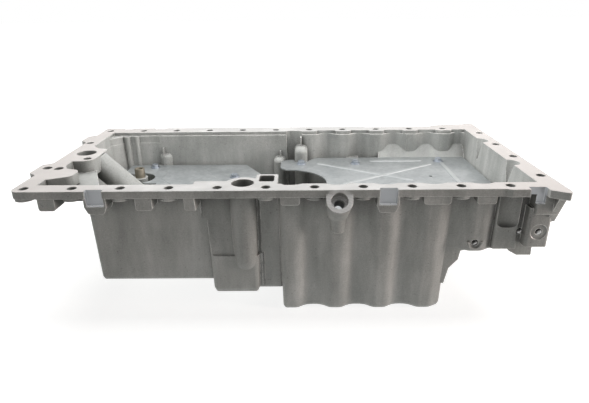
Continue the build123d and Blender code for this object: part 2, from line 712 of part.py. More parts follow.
with BuildPart() as pan_casting:
    add(outside.part)
    add(cavity.part, mode=Mode.SUBTRACT)

    add([bolt_recess.part, bolt_scoop.part, tube_groove, low_groove], mode=Mode.SUBTRACT)

    # Bolt holes of the two rails and of both ends, and the two dowel holes of the left ear
    rail_holes = [(col(n), y) for y in (0, row_gap) for n in range(-last_bolt, last_bolt + 1)]
    with Locations(*[level(0) * Pos(x, y) for x, y in rail_holes + end_holes]):
        Hole(bolt_hole / 2, depth=pocket_depth + 1.0)
    with Locations(*[level(0) * Pos(x, y) for x, y in dowel_holes]):
        Hole(dowel_hole / 2, depth=land_depth + 1.0)

    # Suction port and its bore down the leaning tube
    with Locations(level(0) * Pos(port_x, port_y)):
        Hole(port_bore / 2, depth=tube_start_depth + 6.0)
    with BuildSketch(tube_lean):
        Circle(tube_bore / 2)
    extrude(amount=-tube_length - 5.0, mode=Mode.SUBTRACT)

    # Upright port beside the rail, counterbored, and the square port
    with Locations(level(0) * Pos(dip_x, dip_y)):
        CounterBoreHole(tube_bore / 2, dip_bore / 2, 14.0, depth=tube_boss_depth - 14.0)
    with BuildSketch(level(0)) as square_mouth:
        with Locations((square_x, 25.0)):
            RectangleRounded(square_port, square_port + 3.0, 2.5)
    extrude(amount=-square_depth, mode=Mode.SUBTRACT)

    # Slots milled in three lugs
    for number in (-3.5, 2.5, 5.5):
        with BuildSketch(level(0)):
            with Locations((col(number), front_face - 5.0 + slot_reach / 2)):
                RectangleRounded(slot_width, slot_reach, 1.2)
        extrude(amount=-slot_depth, mode=Mode.SUBTRACT)

    # Leaning dipstick boss: counterbore and bore
    with Locations(dip_lean):
        CounterBoreHole(dip_hole / 2, dip_counterbore / 2, 8.0, depth=dip_boss_length)

    # Threaded holes that face the front
    with Locations(front_plane(low_boss_front) * Pos(sump_right_x + low_boss_out, -low_boss_depth)):
        Hole(thread_drill / 2, depth=13.0)
    with Locations(front_plane(pad_front) * Pos(gearbox_right_x, -pad_hole_depth)):
        CounterBoreHole(thread_drill / 2, 8.0, 0.8, depth=18.0)
    with Locations(front_plane(toe_front) * Pos(gearbox_right_x - toe_hole_inset, -toe_hole_depth)):
        Hole(thread_drill / 2, depth=16.0)

    # Drain, baffle screws and suction bush
    with Locations(front_plane(drain_face) * Pos(drain_x, -drain_depth) * Rot(0, 180, 0)):
        Hole(drain_thread / 2, depth=24.0)
    for seat, places in ((right_seat, right_screws), (left_seat, left_screws)):
        with Locations(*[level(seat) * Pos(x, y) for x, y in places]):
            Hole(screw_thread / 2 + screw_play, depth=screw_length)
    with Locations(level(bush_post_depth) * Pos(bush_x, bush_y)):
        Hole(bush_size / 2, depth=bush_seat)

pan_casting.part.label = "pan_casting"
export_step(pan_casting.part, "parts/pan_casting.step")

# ---------------------------------------------------------------------------
# Baffle plates: pressed sheet steel, cut round the bosses and stiffened by pressed ribs
# ---------------------------------------------------------------------------
baffle_right_x = gearbox_right_x - wall - baffle_gap
right_back_y = row_gap - baffle_back
right_front_y = front_flute + wall + 1.0 + baffle_gap
notch_half = 7.5 + 0.8
pickup_x = ear_x - 17.5  # round cut-out for the oil pickup
pickup_y = row_gap - 118.0
pickup_radius = 47.0
pickup_slot_x = ear_x - 12.0
cross_x = col(3) - 4.0   # where the two ribs of the cross meet
cross_y = row_gap - 94.0

right_plate = [
    (ear_x - 27.0, right_front_y), (baffle_right_x, right_front_y),
    (baffle_right_x, right_back_y), (ear_x + 19.5, right_back_y),
    (ear_x + notch_half + 3.0, row_gap - 30.0), (ear_x + notch_half, row_gap - 36.5),
    (ear_x - notch_half, row_gap - 36.5), (ear_x - notch_half - 1.5, row_gap - 27.0),
    (ear_x - 27.0, row_gap - 27.0, 14.0),
]
right_ribs = [
    ((cross_x - 76.0, cross_y + 48.0), (cross_x + 31.0, cross_y - 19.0)),
    ((cross_x + 68.0, cross_y + 42.0), (cross_x - 49.0, cross_y - 31.0)),
    ((cross_x - 5.0, cross_y + 58.0), (cross_x + 59.0, cross_y + 58.0)),
    ((baffle_right_x - 36.5, right_back_y - 28.0), (baffle_right_x - 36.5, right_front_y + 40.0)),
]
left_plate = [
    (col(-3) - 6.0, 38.0), (col(0) - 19.0, 38.0), (col(0) - 19.0, row_gap - 59.0),
    (col(-1) + 5.0, row_gap - 19.0), (col(-4) - 15.0, row_gap - 19.0),
    (col(-4) - 15.0, row_gap - 62.0), (bush_x, row_gap - 62.0),
    (bush_x, bush_y - 15.0), (col(-3) - 25.0, bush_y - 28.0), (col(-3) - 8.0, bush_y - 29.0),
]
left_panel = [
    (col(-3) - 5.0, row_gap - 36.5), (col(-2) - 7.0, row_gap - 36.5), (col(-1) - 17.0, row_gap - 95.0),
    (col(-1) - 17.0, 60.0), (col(-3) + 18.0, 60.0), (col(-3) + 18.0, bush_y - 42.0),
    (col(-3) - 5.0, bush_y - 14.0),
]


def rib(start, end, base):
    """The form of a rib pressed up from the level `base`, round at both ends."""
    middle = ((start[0] + end[0]) / 2, (start[1] + end[1]) / 2)
    along = Vector(end[0] - start[0], end[1] - start[1], 0)
    turn = along.get_signed_angle(Vector(1, 0, 0))
    with BuildPart() as form:
        with BuildSketch(level(base)):
            with Locations(middle):
                SlotCenterToCenter(along.length, rib_width, rotation=turn)
        extrude(amount=rib_height, taper=rib_lean)
    return form.part


def raised_panel(base):
    """The form of the left plate's raised panel, pressed up from the level `base`."""
    return tub(left_panel, base - rib_height, base, taper=-rib_lean, edge=6.0, foot=0)


with BuildPart() as right_baffle:
    with BuildSketch(level(right_seat)) as plan:
        with BuildLine():
            Polyline(*[point[:2] for point in right_plate], close=True)
        make_face()
        round_corners(plan, right_plate, plate_corner)
        with Locations((pickup_x, pickup_y)):
            Circle(pickup_radius, mode=Mode.SUBTRACT)
        with Locations((pickup_slot_x, pickup_y / 2)):
            Rectangle(83.0, pickup_y, mode=Mode.SUBTRACT)
        fillet(plan.vertices().sort_by(Axis.X)[0:1], ear_round)
        with Locations(*right_screws):
            Circle(screw_thread / 2 + plate_play, mode=Mode.SUBTRACT)
        with Locations((col(4) + 8.0, row_gap - 100.0)):
            Circle(oil_hole / 2, mode=Mode.SUBTRACT)
    extrude(amount=sheet)
    add([rib(start, end, right_seat - sheet) for start, end in right_ribs])
    add([rib(start, end, right_seat) for start, end in right_ribs], mode=Mode.SUBTRACT)
right_baffle.part.label = "right_baffle"
export_step(right_baffle.part, "parts/right_baffle.step")

with BuildPart() as left_baffle:
    with BuildSketch(level(left_seat)) as plan:
        with BuildLine():
            Polyline(*[point[:2] for point in left_plate], close=True)
        make_face()
        round_corners(plan, left_plate, plate_corner)
        with Locations((bush_x + 1.0, bush_y - 9.0)):
            Circle(20.0, mode=Mode.SUBTRACT)
        with Locations(*left_screws):
            Circle(screw_thread / 2 + plate_play, mode=Mode.SUBTRACT)
        with Locations((col(-3) + 11.0, row_gap - 78.0)):
            Circle(oil_hole / 2, mode=Mode.SUBTRACT)
    extrude(amount=sheet)
    add(raised_panel(left_seat - sheet))
    add(raised_panel(left_seat), mode=Mode.SUBTRACT)
left_baffle.part.label = "left_baffle"
export_step(left_baffle.part, "parts/left_baffle.step")


# ---------------------------------------------------------------------------
# Screws, suction bush and drain plug
# ---------------------------------------------------------------------------
def baffle_screw(x, y, seat):
    """Hexagon screw, sitting on the sheet."""
    with BuildPart() as screw:
        with BuildSketch(level(seat - sheet)):
            with Locations((x, y)):
                RegularPolygon(screw_hex / 2, 6, major_radius=False)
        extrude(amount=screw_head)
        with BuildSketch(level(seat - sheet)):
            with Locations((x, y)):
                Circle(screw_thread / 2)
        extrude(amount=-(sheet + screw_length - 2.0))
    return screw.part


places = [(x, y, right_seat) for x, y in right_screws] + [(x, y, left_seat) for x, y in left_screws]
for number, (x, y, seat) in enumerate(places, start=1):
    screw = baffle_screw(x, y, seat)
    screw.label = f"baffle_screw_{number}"
    export_step(screw, f"parts/{screw.label}.step")

with BuildPart() as suction_bush:
    with BuildSketch(level(bush_post_depth + bush_seat)):
        with Locations((bush_x, bush_y)):
            Circle(bush_size / 2)
            Circle(bush_bore / 2, mode=Mode.SUBTRACT)
    extrude(amount=bush_seat + bush_rise)
suction_bush.part.label = "suction_bush"
export_step(suction_bush.part, "parts/suction_bush.step")

with BuildPart() as drain_washer:
    with BuildSketch(front_plane(drain_face)):
        with Locations((drain_x, -drain_depth)):
            Circle(plug_collar / 2 - 0.5)
            Circle(drain_thread / 2, mode=Mode.SUBTRACT)
    extrude(amount=-washer_thick)
drain_washer.part.label = "drain_washer"
export_step(drain_washer.part, "parts/drain_washer.step")

with BuildPart() as drain_plug:
    with BuildSketch(front_plane(drain_face + washer_thick)):
        with Locations((drain_x, -drain_depth)):
            Circle(plug_collar / 2)
    extrude(amount=-plug_collar_thick)
    with BuildSketch(front_plane(drain_face + washer_thick + plug_collar_thick)):
        with Locations((drain_x, -drain_depth)):
            RegularPolygon(plug_hex / 2, 6, major_radius=False)
    extrude(amount=-plug_head)
    with BuildSketch(front_plane(drain_face + washer_thick)):
        with Locations((drain_x, -drain_depth)):
            Circle(drain_thread / 2 - screw_play)
    extrude(amount=washer_thick + plug_length)
drain_plug.part.label = "drain_plug"
export_step(drain_plug.part, "parts/drain_plug.step")
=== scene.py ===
# %% [markdown]
# # A cast engine oil pan
#
# This lesson dresses an engine oil pan in Blender. The pan is one aluminium die
# casting: a machined gasket face on top, a shallow left well, and a deep sump with
# corrugated walls, so that a socket can reach every bolt of the rail. Two galvanised
# baffle plates are screwed to bosses inside it, and a small sintered bush stands in
# the suction passage.
#
# The solid shapes come from the CAD model. They are loaded as a fixed frame, and
# Blender adds what CAD leaves out: the surface of each material, the flanges of the
# screw heads, the threads in the tapped holes, a raised lip round one of them, the
# light, the floor and the camera.

# %% Load the CAD model
import json
import math

import bmesh
import bpy
from mathutils import Matrix, Vector


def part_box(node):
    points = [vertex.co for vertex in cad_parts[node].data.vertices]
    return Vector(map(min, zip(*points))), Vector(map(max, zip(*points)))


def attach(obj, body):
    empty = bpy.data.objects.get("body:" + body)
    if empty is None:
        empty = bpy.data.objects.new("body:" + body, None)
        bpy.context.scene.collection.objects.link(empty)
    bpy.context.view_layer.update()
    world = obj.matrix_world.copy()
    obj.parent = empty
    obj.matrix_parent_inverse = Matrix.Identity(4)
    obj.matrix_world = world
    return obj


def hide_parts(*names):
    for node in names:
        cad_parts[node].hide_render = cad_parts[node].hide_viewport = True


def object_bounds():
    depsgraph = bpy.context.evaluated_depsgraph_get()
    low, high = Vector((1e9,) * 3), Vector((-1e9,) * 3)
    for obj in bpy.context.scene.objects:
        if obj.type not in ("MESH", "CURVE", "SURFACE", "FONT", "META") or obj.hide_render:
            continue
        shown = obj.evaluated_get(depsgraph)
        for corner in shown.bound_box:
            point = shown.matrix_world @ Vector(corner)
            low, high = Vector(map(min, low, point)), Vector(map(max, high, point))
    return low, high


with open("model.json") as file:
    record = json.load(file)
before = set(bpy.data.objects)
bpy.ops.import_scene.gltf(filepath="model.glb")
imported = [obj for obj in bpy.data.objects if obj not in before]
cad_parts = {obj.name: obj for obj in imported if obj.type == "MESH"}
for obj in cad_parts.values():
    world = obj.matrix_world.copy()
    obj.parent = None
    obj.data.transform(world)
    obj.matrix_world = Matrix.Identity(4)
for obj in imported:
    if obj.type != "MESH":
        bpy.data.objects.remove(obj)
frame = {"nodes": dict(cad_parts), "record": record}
cad_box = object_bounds()
print("nodes:", len(frame["nodes"]))
print("size of the pan in mm:", [round(1000 * (high - low)) for low, high in zip(*cad_box)])

# %% [markdown]
# ## The measures that the rest follows
#
# A pattern such as milling marks or a tapped hole has to sit where the part has it.
# The middle bolt of the front rail is the point that a drawing of this pan would
# measure from, so the lesson does the same: along the pan, to the back and down, in
# millimetres. Blender itself works in metres, and `mm` keeps the numbers readable.

# %% Places on the pan
mm = 0.001
gasket_z = cad_box[1][2]
middle_bolt = Vector((-15.25 * mm, -117.331 * mm, gasket_z))


def from_middle_bolt(along, back, down):
    """A point given in millimetres from the middle front bolt."""
    return middle_bolt + Vector((along, back, -down)) * mm


print("gasket face at", round(gasket_z / mm), "mm")
print("middle bolt at", [round(value / mm, 1) for value in middle_bolt], "mm")

# %% [markdown]
# ## Shader arithmetic
#
# A finish such as cast aluminium is a small sum: grain plus stains, times a mask for
# where the metal was milled. Node trees get hard to read when each sum is a chain of
# boxes, so one small class wraps an output socket and lets Python's own `+`, `-` and
# `*` add the Math nodes. Any other node comes from its `node` method. Colours are
# never added this way, because a Math node would turn them grey. They go through a
# Mix node instead.

# %% A socket that can be used in a sum
class Shade:
    """One output socket of a node tree, or the tree alone while its socket is None."""

    def __init__(self, tree, socket=None):
        self.tree = tree
        self.socket = socket

    def node(self, kind, settings=None, inputs=None, output=0):
        """Adds a node. Its settings are set first, then its input sockets, as values or links."""
        made = self.tree.nodes.new(kind)
        for name, value in (settings or {}).items():
            if name == "stops":
                ramp = made.color_ramp
                while len(ramp.elements) < len(value):
                    ramp.elements.new(1.0)
                for element, (place, colour) in zip(ramp.elements, value):
                    element.position = place
                    element.color = (*colour, 1.0)
            else:
                setattr(made, name, value)
        for name, value in (inputs or {}).items():
            if isinstance(value, Shade):
                self.tree.links.new(value.socket, made.inputs[name])
            else:
                made.inputs[name].default_value = value
        return Shade(self.tree, made.outputs[output])

    def math(self, operation, *others):
        """A Math node on this socket and up to two more values or sockets."""
        inputs = dict(enumerate((self, *others)))
        return self.node("ShaderNodeMath", {"operation": operation}, inputs)

    def __add__(self, other):
        return self.math("ADD", other)

    def __mul__(self, other):
        return self.math("MULTIPLY", other)

    def __sub__(self, other):
        return self.math("SUBTRACT", other)

    def __rsub__(self, other):
        return self.node("ShaderNodeMath", {"operation": "SUBTRACT"}, {0: other, 1: self})

    __radd__ = __add__
    __rmul__ = __mul__

    def step(self, start, end):
        """0 below start, 1 above end, and a smooth rise between them."""
        return self.node(
            "ShaderNodeMapRange", {"interpolation_type": "SMOOTHSTEP"},
            {"Value": self, "From Min": start, "From Max": end})

    def between(self, start, end, soft=0.05 * mm):
        """1 from start to end, 0 outside."""
        return self.step(start - soft, start + soft) * (1.0 - self.step(end - soft, end + soft))

    def ramp(self, stops):
        """A colour that runs through the (value, colour) stops."""
        return self.node("ShaderNodeValToRGB", {"stops": stops}, {"Fac": self})

    def blend(self, first, second):
        """The colour `first` where this socket is 0 and `second` where it is 1."""
        return self.node(
            "ShaderNodeMix", {"data_type": "RGBA"}, {0: self, 6: first, 7: second}, output=2)


methods = [name for name in vars(Shade) if not name.startswith("_")]
print("a socket can now be used with + - * and", methods)

# %% [markdown]
# ## Patterns that several finishes share
#
# Every metal here needs a soft cloudy variation and a fine grain. Both come from
# noise on Object coordinates, which are the pan's own metres, so a `size` given in
# metres is the real size of a cloud or a grain, and nothing stretches when the part is
# seen from another side.

# %% Object coordinates and noise
class Finish(Shade):
    """A new material: the start of its node tree, its shader and its place on the surface."""

    def __init__(self, name):
        self.material = bpy.data.materials.new(name)
        self.material.use_nodes = True
        super().__init__(self.material.node_tree)
        self.shader = self.tree.nodes["Principled BSDF"]
        self.place = self.node("ShaderNodeTexCoord", output=3)
        split = self.node("ShaderNodeSeparateXYZ", inputs={0: self.place})
        self.x, self.y, self.z = (Shade(self.tree, out) for out in split.socket.node.outputs)

    def noise(self, size, detail=2.0, rough=0.5, stretch=(1, 1, 1), offset=(0, 0, 0)):
        """Noise from 0 to 1 with blobs about `size` metres across, drawn out by `stretch`."""
        scale = [1.0 / (size * s) for s in stretch]
        place = self.node("ShaderNodeMapping", inputs={0: self.place, 1: offset, 3: scale})
        return self.node("ShaderNodeTexNoise", inputs={
            "Vector": place, "Scale": 1.0, "Detail": detail, "Roughness": rough})

    def bump(self, height, distance, normal=None):
        """A Bump node that feeds the shader's Normal."""
        inputs = {"Strength": 1.0, "Distance": distance, "Height": height}
        if normal:
            inputs["Normal"] = normal
        return self.node("ShaderNodeBump", inputs=inputs)

    def use(self, **sockets):
        """Sets or links the shader's sockets."""
        for name, value in sockets.items():
            socket = self.shader.inputs[name.replace("_", " ").title()]
            if isinstance(value, Shade):
                self.tree.links.new(value.socket, socket)
            else:
                socket.default_value = value
        return self.material


methods = [name for name in vars(Finish) if not name.startswith("_")]
print("a finish adds", methods)

# %% [markdown]
# ## Which faces of the casting were milled
#
# Only the faces that seal or guide something are milled: the whole gasket face, the
# ring of the dipstick boss, and three slots in the lugs of the front rail. One casting
# is one solid, so cast skin and milled metal have to live in one material, and a mask
# tells them apart. A point lies on the gasket face when it is as high as that face and
# its normal points up. The ring and the slots are known by their place alone, and each
# slot lies half way between two bolts.

# %% Helpers that find a face
def near(metal, point, radius, soft=0.2 * mm):
    """1 within `radius` of a point, 0 outside."""
    away = metal.node(
        "ShaderNodeVectorMath", {"operation": "DISTANCE"}, {0: metal.place, 1: point}, output=1)
    return 1.0 - away.step(radius - soft, radius + soft)


def facing_up(metal, start, end):
    """1 where the surface looks up, 0 where it is a wall or looks down."""
    normal = metal.node("ShaderNodeNewGeometry", output=1)
    return metal.node("ShaderNodeSeparateXYZ", inputs={0: normal}, output=2).step(start, end)


print("helpers:", near.__name__, "and", facing_up.__name__)

# %% A mask for the milled faces
bolt_pitch = 46.0
dipstick_ring = from_middle_bolt(69.0, -14.5, 9.0)
dipstick_ring_radius = 12.9 * mm
slot_foot = from_middle_bolt(0.0, -4.5, 16.0)
slot_columns = [from_middle_bolt(bolt_pitch * number, 0.0, 0.0).x for number in (-3.5, 2.5, 5.5)]
slot_half_width, slot_reach = 8.5 * mm, 3.7 * mm


def slot_mask(metal):
    """1 on the back, the sides and the floor of the three slots."""
    first, *others = (
        metal.x.between(column - slot_half_width, column + slot_half_width)
        for column in slot_columns)
    along = first
    for other in others:
        along = along.math("MAXIMUM", other)
    return (
        along * metal.y.between(slot_foot.y - slot_reach, slot_foot.y + 0.3 * mm)
        * metal.z.between(slot_foot.z - 0.2 * mm, gasket_z - 0.1 * mm))


def milled_mask(metal, slots):
    """1 on every face that a cutter has touched."""
    top = metal.z.step(gasket_z - 0.06 * mm, gasket_z - 0.02 * mm)
    gasket = top * facing_up(metal, 0.9, 0.98)
    ring = near(metal, dipstick_ring, dipstick_ring_radius)
    return gasket.math("MAXIMUM", ring).math("MAXIMUM", slots)


print("slots at", [round(column / mm, 1) for column in slot_columns], "mm along the pan")

# %% [markdown]
# ## Edges with wear and a painted highlight, and hollows with painted shade
#
# A casting shows its use by its shape: edges are rubbed pale. The pale edges here are
# also a painted highlight, and corners and pockets are painted darker as painted
# shade. Painted by hand, that would have to be done again after each change of the
# shape. Two nodes measure the shape instead. Bevel gives the normal that a rounded
# edge would have, so an edge is where that normal leaves the true one. Ambient
# Occlusion says how open a point lies, and here it looks at the pan alone, because
# the floor would darken the walls too.

# %% Helpers that find edges and hollows for wear, painted highlight and painted shade
def rounded(metal, radius):
    """The normal that the surface would have if its edges were rounded."""
    return metal.node("ShaderNodeBevel", {"samples": 8}, {"Radius": radius})


def edge_wear_and_highlight(metal, radius, start, end):
    """1 along the edges, where the rounded normal leaves the true one, and 0 on the flats: a mask
    for rubbed wear and a painted highlight.
    """
    true = metal.node("ShaderNodeNewGeometry", output=3)
    same = metal.node(
        "ShaderNodeVectorMath", {"operation": "DOT_PRODUCT"},
        {0: rounded(metal, radius), 1: true}, output=1)
    return (1.0 - same).step(start, end)


def painted_hollow_shade(metal, reach, start, end):
    """1 deep in corners and pockets, 0 where nothing within `reach` shades the surface: a mask for
    painted shade.
    """
    open_sky = metal.node(
        "ShaderNodeAmbientOcclusion", {"samples": 8, "only_local": True},
        {"Distance": reach}, output=1)
    return (1.0 - open_sky).step(start, end)


print("helpers:", [helper.__name__ for helper in (rounded, edge_wear_and_highlight, painted_hollow_shade)])

# %% [markdown]
# ## The cast skin
#
# The pan leaves the die with a matt, faintly mottled skin. The melt flows upwards in
# the die, which leaves marks that are longer than they are wide, and shot-blasting
# adds a fine even grain. Three sizes of noise in one sum give all of it, and a ramp
# turns the sum into greys that lean a little to green. On top come dark specks, a thin
# film of dust on what looks up that also paints shade on the tops, painted shade in
# the hollows, and pale edges that are rubbed metal and a painted highlight. Each of
# these is one mask and one colour, so each can be turned up or down alone.

# %% Colours of the skin
skin_greys = [
    (0.35, (0.27, 0.278, 0.266)),
    (0.50, (0.40, 0.408, 0.392)),
    (0.65, (0.56, 0.565, 0.547)),
]
speck_grey, speck_strength = (0.18, 0.18, 0.17, 1), 0.5
# The film greys the tops as dust and as painted shade, the hollow grey is painted shade in corners,
# and the rubbed grey is wear and a painted highlight on edges.
film_and_shade_grey, film_and_shade_strength = (0.20, 0.203, 0.196, 1), 0.55
painted_shade_grey, painted_shade_strength = (0.12, 0.12, 0.113, 1), 0.80
rubbed_and_highlight_grey, rubbed_and_highlight_strength = (0.74, 0.73, 0.71, 1), 0.85


def cast_skin(metal, tone, edge):
    """The colour of the metal as it leaves the die, with its marks of use, painted shade and a
    painted highlight.
    """
    colour = tone.ramp(skin_greys)
    specks = metal.noise(2.6 * mm, detail=1.0, offset=(5, 1, 0)).step(0.70, 0.78)
    colour = (specks * speck_strength).blend(colour, speck_grey)
    # A film of dust on upward faces, which also paints shade on the tops.
    film_and_painted_shade = facing_up(metal, 0.2, 0.9)
    colour = (film_and_painted_shade * film_and_shade_strength).blend(colour, film_and_shade_grey)
    # Painted shade: corners and pockets are darker.
    painted_shade = painted_hollow_shade(metal, 28 * mm, 0.02, 0.75)
    colour = (painted_shade * painted_shade_strength).blend(colour, painted_shade_grey)
    # Pale edges: rubbed metal and a painted highlight.
    return (edge * rubbed_and_highlight_strength).blend(colour, rubbed_and_highlight_grey)


print("skin greys:", [stop[1] for stop in skin_greys])

# %% [markdown]
# ## The milled metal
#
# Milled aluminium is paler, warmer and smoother than the skin. It carries the cutter's
# marks, wide arcs that follow its path along the rail, and stains from the gasket and
# from hands. A ring wave with its centre far in front of the pan gives arcs that look
# nearly straight, as a large cutter leaves them. The two ends are painted in a warmer
# tint, a painted warm light, and the slots are colder, with their floor painted bright
# as a painted highlight.

# %% Colours of the milled faces
milled_greys = [
    (0.0, (0.37, 0.366, 0.356)),
    (0.5, (0.44, 0.435, 0.424)),
    (1.0, (0.515, 0.509, 0.496)),
]
# Painted warm light at both ends of the rail.
painted_warm_end_light, painted_warm_end_strength = (0.44, 0.40, 0.378, 1), 0.55
slot_grey = (0.47, 0.49, 0.51, 1)
# The slot floor is painted bright as a highlight.
slot_floor_highlight_grey = (0.84, 0.85, 0.86, 1)
arcs_in_front, arcs_scale = 0.35, 160.0  # the arcs come out about 2 mm apart


def cutter_arcs(metal):
    """The fine waves that the milling cutter leaves."""
    centre = metal.node("ShaderNodeMapping", inputs={0: metal.place, 1: (0.0, arcs_in_front, 0.0)})
    return metal.node(
        "ShaderNodeTexWave", {"wave_type": "RINGS", "rings_direction": "Z"},
        {"Vector": centre, "Scale": arcs_scale, "Distortion": 0.4, "Detail": 1.0}, output=1)


def milled_metal(metal, arcs, slots):
    """The colour of the milled faces, with a painted warm light at the ends and a painted highlight
    on the slot floors.
    """
    stain = metal.noise(38 * mm, detail=3.0, offset=(3.1, 0.4, 0.0)).step(0.40, 0.75)
    colour = (arcs * 0.3 + stain * 0.7).ramp(milled_greys)
    # Painted warm light: the two ends of the rail are tinted warmer.
    painted_end_light_mask = metal.x.math("ABSOLUTE").step(90 * mm, 260 * mm)
    colour = (painted_end_light_mask * painted_warm_end_strength).blend(colour, painted_warm_end_light)
    # Painted highlight: the slot floors are painted bright.
    slot_floor_highlight = slots * (1.0 - metal.z.step(slot_foot.z + 0.3 * mm, slot_foot.z + 0.9 * mm))
    colour = slots.blend(colour, slot_grey)
    return slot_floor_highlight.blend(colour, slot_floor_highlight_grey)


print("milled greys:", [stop[1] for stop in milled_greys])

# %% [markdown]
# ## One material for the casting
#
# The two colours are blended by the mask, and so are roughness, metallic and bump: the
# skin is rougher and has a deep grain, the milled faces shine more and have only the
# cutter's arcs. The bump starts from the rounded normal, so that every edge of the CAD
# model catches a little light, as a cast edge does.

# %% Cast and milled aluminium
skin_rough, milled_rough = 0.54, 0.38
skin_metallic, milled_metallic = 0.07, 0.37
grain_depth, corner_radius, wear_and_highlight_width = 0.15 * mm, 0.9 * mm, 1.6 * mm


def cast_aluminium():
    """Cast skin and milled metal in one material."""
    alu = Finish("die_cast_aluminium")
    slots = slot_mask(alu)
    milled = milled_mask(alu, slots)
    patchy = alu.noise(7 * mm, detail=3.0).step(0.25, 0.58)
    # Edges: rubbed wear and a painted highlight.
    edge = edge_wear_and_highlight(alu, wear_and_highlight_width, 0.02, 0.18) * patchy

    cloud = alu.noise(70 * mm, detail=3.0)
    flow = alu.noise(16 * mm, detail=4.0, rough=0.6, stretch=(1, 1, 5))
    grain = alu.noise(1.2 * mm, detail=2.0, rough=0.65)
    arcs = cutter_arcs(alu)
    skin = cast_skin(alu, cloud * 0.37 + flow * 0.38 + grain * 0.25, edge)

    alu.shader.inputs["Specular IOR Level"].default_value = 0.22
    rough = milled * (milled_rough - skin_rough) + skin_rough
    height = (grain + flow * 0.6) * (1.0 - milled) + arcs * milled * 0.08
    return alu.use(
        base_color=milled.blend(skin, milled_metal(alu, arcs, slots)),
        roughness=rough + (cloud - 0.5) * 0.15 - edge * 0.12,
        metallic=milled * (milled_metallic - skin_metallic) + skin_metallic + edge * 0.3,
        normal=alu.bump(height, grain_depth, rounded(alu, corner_radius)))


aluminium = cast_aluminium()
print("nodes in the casting's material:", len(aluminium.node_tree.nodes))

# %% [markdown]
# ## Galvanised sheet
#
# The baffles are cut and pressed from hot-dip galvanised sheet. Its zinc freezes in
# flat crystals, the spangle, which a Voronoi pattern gives at once: each cell takes
# its own slight tone. Clouds and long smears from handling lie over it. The tops of
# the pressed ribs are painted paler, as rubbed zinc and as a painted highlight, and
# their height alone tells where they are.

# %% Galvanised sheet
zinc_greys = [
    (0.25, (0.39, 0.415, 0.422)),
    (0.5, (0.47, 0.495, 0.50)),
    (0.75, (0.55, 0.572, 0.576)),
]
# Rib tops: rubbed zinc and a painted highlight.
rubbed_and_highlight_zinc, rubbed_and_highlight_zinc_strength = (0.70, 0.72, 0.72, 1), 0.45
spangle_scale = 240.0  # crystals about 4 mm across
rib_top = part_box("right_baffle")[1][2]


def galvanised_sheet():
    """Zinc spangle under clouds and smears, with rib tops painted paler as rubbed zinc and a
    painted highlight.
    """
    zinc = Finish("galvanised_sheet")
    cells = zinc.node(
        "ShaderNodeTexVoronoi", {"feature": "F1"},
        {"Vector": zinc.place, "Scale": spangle_scale}, output=1)
    spangle = zinc.node("ShaderNodeSeparateXYZ", inputs={0: cells})
    cloud = zinc.noise(45 * mm, detail=3.0)
    smear = zinc.noise(9 * mm, detail=4.0, stretch=(3, 1, 1))
    tone = spangle * 0.25 + cloud * 0.5 + smear * 0.25
    # Rib tops painted paler: rubbed zinc and a painted highlight.
    rubbed_and_highlight = zinc.z.step(rib_top - 0.55 * mm, rib_top - 0.15 * mm)
    return zinc.use(
        base_color=(rubbed_and_highlight * rubbed_and_highlight_zinc_strength).blend(tone.ramp(zinc_greys), rubbed_and_highlight_zinc),
        roughness=tone * 0.25 + 0.38, metallic=0.9, normal=zinc.bump(smear, 0.03 * mm))


galvanised = galvanised_sheet()
print("the ribs' tops lie at", round(rib_top / mm, 1), "mm")

# %% [markdown]
# ## Screws, bush, washer, plug and threads
#
# The small parts are each of one metal and have no marks of their own, so they share
# one simple recipe: two tones in soft clouds, and a fine grain that breaks up the
# gloss. The screws have a cold blue passivation. The bush is a sintered tin bronze,
# dull and porous. The plug is bare steel on a washer of soft aluminium. The cut
# threads are smoother and shinier than the casting round them.

# %% Plain metals
def plain_metal(name, dark, light, rough, grain_size, grain_depth):
    """A metal with faint clouds between two tones and a fine grain."""
    part = Finish(name)
    cloud = part.noise(6 * mm, detail=3.0)
    grain = part.noise(grain_size, detail=2.0)
    return part.use(
        base_color=cloud.step(0.3, 0.7).blend((*dark, 1), (*light, 1)),
        roughness=(grain - 0.5) * 0.15 + rough, metallic=0.95,
        normal=part.bump(grain, grain_depth))


finishes = {
    "cast_aluminium": aluminium,
    "galvanised_sheet": galvanised,
    "zinc_steel": plain_metal(
        "zinc_screw", (0.36, 0.40, 0.45), (0.55, 0.59, 0.65), 0.30, 0.8 * mm, 0.02 * mm),
    "sintered_brass": plain_metal(
        "sintered_bush", (0.29, 0.265, 0.21), (0.39, 0.36, 0.295), 0.58, 0.5 * mm, 0.06 * mm),
    "washer_aluminium": plain_metal(
        "soft_washer", (0.60, 0.60, 0.59), (0.70, 0.70, 0.69), 0.4, 1.0 * mm, 0.02 * mm),
    "plug_steel": plain_metal(
        "plug_steel", (0.30, 0.30, 0.31), (0.42, 0.42, 0.43), 0.38, 0.9 * mm, 0.03 * mm),
}
cut_thread = plain_metal(
    "cut_thread", (0.34, 0.34, 0.33), (0.52, 0.52, 0.51), 0.25, 1.0 * mm, 0.01 * mm)
print("finishes:", list(finishes))

# %% [markdown]
# ## A finish for every CAD node
#
# The record names a material slot for each node. A node's mesh is never changed, but
# the slots of its object can take a new material, so one loop dresses them all.

# %% Dress the CAD nodes
slots_of = {entry["node"]: entry["material_slot"] for entry in frame["record"]["subparts"]}
for name, node in frame["nodes"].items():
    for slot in node.material_slots:
        slot.material = finishes[slots_of[name]]
print("finishes given to", len(frame["nodes"]), "nodes")

# %% [markdown]
# ## From a bmesh to a piece
#
# Every new piece is built round the origin, standing up, where its numbers are easy to
# read. It is then moved to its place in its mesh, because a piece's object has to stay
# at the origin. The same helper shades it smooth, keeps its hard edges, gives it a
# material, hangs it on the root body and hides the CAD nodes that it replaces.

